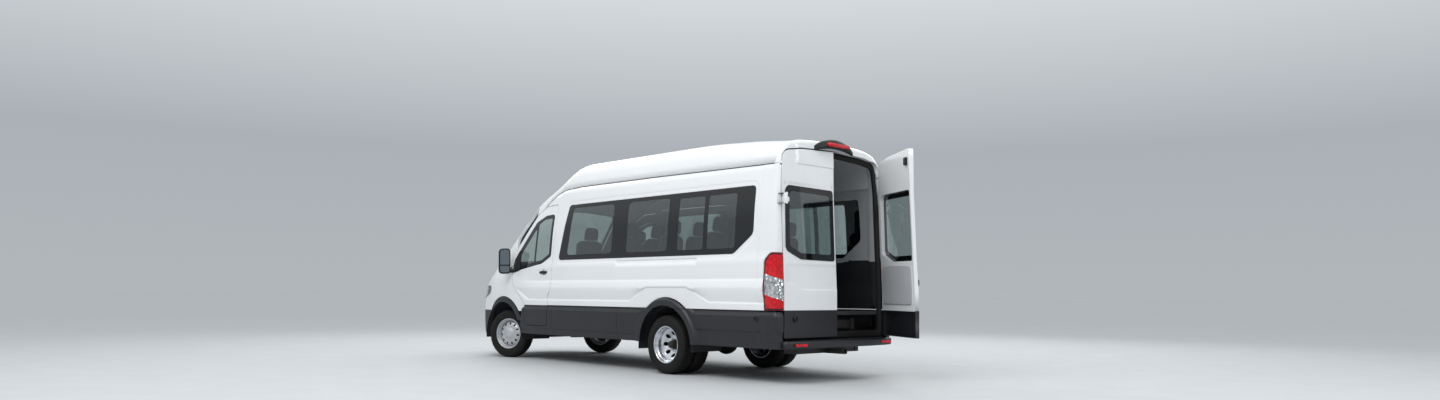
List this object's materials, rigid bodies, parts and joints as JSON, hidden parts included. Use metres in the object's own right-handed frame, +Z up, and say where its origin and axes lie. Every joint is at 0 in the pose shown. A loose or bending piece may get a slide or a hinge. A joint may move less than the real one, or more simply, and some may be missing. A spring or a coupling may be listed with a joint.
{
  "type": "minibus",
  "caption": "High-roof passenger minibus with hinged cab, rear and bonnet doors, steered front wheels, twin rear wheels and seats inside.",
  "frame": {"origin": "on the ground, at the middle of the whole box with the right rear door standing open", "axes": "+X towards the front, +Y to the left, +Z up"},
  "size_m": [7.3967, 2.4734, 2.7763],
  "materials": {
    "white_paint": "gloss white",
    "dark_cladding": "grained",
    "black_plastic": "grained",
    "tinted_glass": "tinted",
    "clear_glass": "clear",
    "tyre_rubber": "moulded",
    "painted_wheel": "silver",
    "bright_wheel": "polished",
    "lamp_red": "moulded",
    "lamp_clear": "moulded",
    "underbody": "black coated",
    "bare_steel": "dull",
    "iron_block": "cast",
    "dark_trim": "grained",
    "seat_cloth": "woven"
  },
  "bodies": {
    "body": {"body_side_left": "white_paint", "body_side_right": "white_paint", "brake_lamp_pod": "lamp_red", "chassis_rails": "underbody", "dashboard": "dark_trim", "engine_block": "iron_block", "exhaust": "bare_steel", "floor_pan": "underbody", "front_bumper": "dark_cladding", "front_seats": "seat_cloth", "front_subframe": "underbody", "front_wings": "white_paint", "fuel_tank": "black_plastic", "grille": "black_plastic", "headlamps": "lamp_clear", "leaf_springs": "underbody", "lower_cladding_left": "dark_cladding", "lower_cladding_right": "dark_cladding", "passenger_seats": "seat_cloth", "rear_axle": "underbody", "rear_bumper": "dark_cladding", "roof_panel": "white_paint", "side_windows": "tinted_glass", "sliding_door": "white_paint", "sliding_door_glass": "tinted_glass", "steering_wheel": "dark_trim", "tail_lamps": "lamp_red", "tow_hitch": "underbody", "windscreen": "clear_glass", "windscreen_frame": "white_paint"},
    "front_door_left": {"front_door_left": "white_paint", "front_door_glass_left": "clear_glass", "mirror_left": "black_plastic"},
    "front_door_right": {"front_door_right": "white_paint", "front_door_glass_right": "clear_glass", "mirror_right": "black_plastic"},
    "rear_door_left": {"rear_door_left": "white_paint", "rear_door_glass_left": "tinted_glass"},
    "rear_door_right": {"rear_door_right": "white_paint", "rear_door_glass_right": "tinted_glass"},
    "bonnet": {"bonnet": "white_paint"},
    "knuckle_left": {"knuckle_left": "iron_block"},
    "knuckle_right": {"knuckle_right": "iron_block"},
    "front_wheel_left": {"front_tyre_left": "tyre_rubber", "front_rim_left": "painted_wheel"},
    "front_wheel_right": {"front_tyre_right": "tyre_rubber", "front_rim_right": "painted_wheel"},
    "rear_wheels_left": {"rear_tyres_left": "tyre_rubber", "rear_rims_left": "bright_wheel"},
    "rear_wheels_right": {"rear_tyres_right": "tyre_rubber", "rear_rims_right": "bright_wheel"}
  },
  "joints": [
    {"name": "steer_left", "type": "hinge", "parent": "body", "child": "knuckle_left", "pos_m": [2.6783, 0.79, 0.3495], "axis": [0, 0, 1], "range_deg": [-56, 16]},
    {"name": "front_wheel_left_spin", "type": "hinge", "parent": "knuckle_left", "child": "front_wheel_left", "pos_m": [2.65231, 0.86142, 0.3495], "axis": [-0.342, 0.9397, 0], "continuous": true},
    {"name": "rear_wheels_left_spin", "type": "hinge", "parent": "body", "child": "rear_wheels_left", "pos_m": [-1.0717, 0.819, 0.3495], "axis": [0, 1, 0], "continuous": true},
    {"name": "front_door_left_hinge", "type": "hinge", "parent": "body", "child": "front_door_left", "pos_m": [2.5003, 1.014, 1], "axis": [0, 0, -1], "range_deg": [0, 70]},
    {"name": "rear_door_left_hinge", "type": "hinge", "parent": "body", "child": "rear_door_left", "pos_m": [-2.9337, 0.918, 1.4], "axis": [0, 0, -1], "range_deg": [0, 180]},
    {"name": "steer_right", "type": "hinge", "parent": "body", "child": "knuckle_right", "pos_m": [2.6783, -0.79, 0.3495], "axis": [0, 0, 1], "range_deg": [-56, 16]},
    {"name": "front_wheel_right_spin", "type": "hinge", "parent": "knuckle_right", "child": "front_wheel_right", "pos_m": [2.70429, -0.86142, 0.3495], "axis": [-0.342, 0.9397, 0], "continuous": true},
    {"name": "rear_wheels_right_spin", "type": "hinge", "parent": "body", "child": "rear_wheels_right", "pos_m": [-1.0717, -0.819, 0.3495], "axis": [0, 1, 0], "continuous": true},
    {"name": "front_door_right_hinge", "type": "hinge", "parent": "body", "child": "front_door_right", "pos_m": [2.5003, -1.014, 1], "axis": [0, 0, 1], "range_deg": [0, 70]},
    {"name": "rear_door_right_hinge", "type": "hinge", "parent": "body", "child": "rear_door_right", "pos_m": [-2.9337, -0.918, 1.4], "axis": [0, 0, 1], "range_deg": [-60, 120]},
    {"name": "bonnet_hinge", "type": "hinge", "parent": "body", "child": "bonnet", "pos_m": [2.7983, 0, 1.3], "axis": [0, -1, 0], "range_deg": [0, 50]}
  ],
  "couplings": [
    {"joint": "steer_right", "follows": "steer_left", "ratio": 1}
  ]
}
